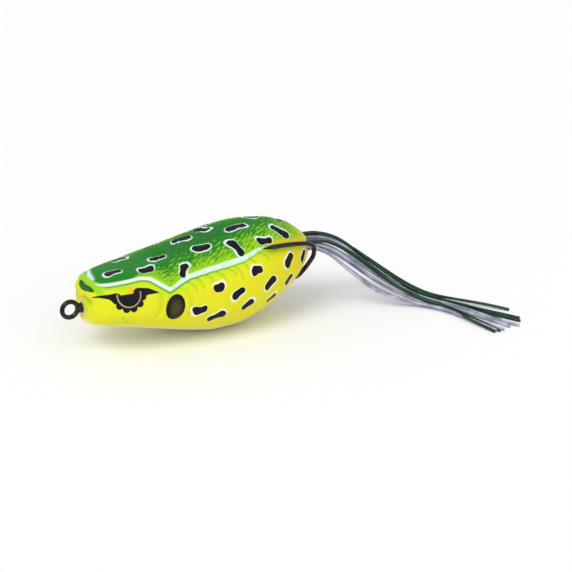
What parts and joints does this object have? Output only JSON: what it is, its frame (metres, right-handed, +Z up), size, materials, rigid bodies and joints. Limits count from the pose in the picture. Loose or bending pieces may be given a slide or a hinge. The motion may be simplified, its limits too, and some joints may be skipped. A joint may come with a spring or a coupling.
{
  "type": "topwater frog popper lure",
  "caption": "Hollow soft frog-shaped topwater lure with an upturned double hook behind its rump, a nose line-tie eye and two trailing silicone skirt legs.",
  "frame": {"origin": "centre of the line-tie eye at the nose; the surface it rests on is 10.3 mm below", "axes": "+X from the nose towards the tail, -Y the frog's left flank, +Z up; +Y is also the axis of the line-tie eye"},
  "size_m": [0.1034, 0.051, 0.0234],
  "materials": {
    "frog_skin": "satin",
    "black_nickel": "polished",
    "weight_metal": "matte",
    "seal_rubber": "matte",
    "green_silicone": "gloss",
    "pale_silicone": "gloss"
  },
  "bodies": {
    "lure": {"body_skin": "frog_skin", "double_hook": "black_nickel", "keel_weight": "weight_metal", "nose_seal": "seal_rubber"},
    "left_leg": {"left_leg_band": "seal_rubber", "left_strand_1": "pale_silicone", "left_strand_2": "pale_silicone", "left_strand_3": "green_silicone", "left_strand_4": "pale_silicone", "left_strand_5": "green_silicone", "left_strand_6": "pale_silicone", "left_strand_7": "pale_silicone"},
    "right_leg": {"right_leg_band": "seal_rubber", "right_strand_1": "pale_silicone", "right_strand_2": "pale_silicone", "right_strand_3": "green_silicone", "right_strand_4": "green_silicone", "right_strand_5": "green_silicone", "right_strand_6": "green_silicone", "right_strand_7": "green_silicone"}
  },
  "joints": [
    {"name": "left_leg_swing", "type": "hinge", "parent": "lure", "child": "left_leg", "pos_m": [0.059, -0.0028, 0.0058], "axis": [0, 0, 1], "range_deg": [-15, 0], "stiffness_Nm_per_rad": 0.0006},
    {"name": "right_leg_swing", "type": "hinge", "parent": "lure", "child": "right_leg", "pos_m": [0.059, 0.0028, 0.0058], "axis": [0, 0, 1], "range_deg": [0, 15], "stiffness_Nm_per_rad": 0.0006}
  ]
}
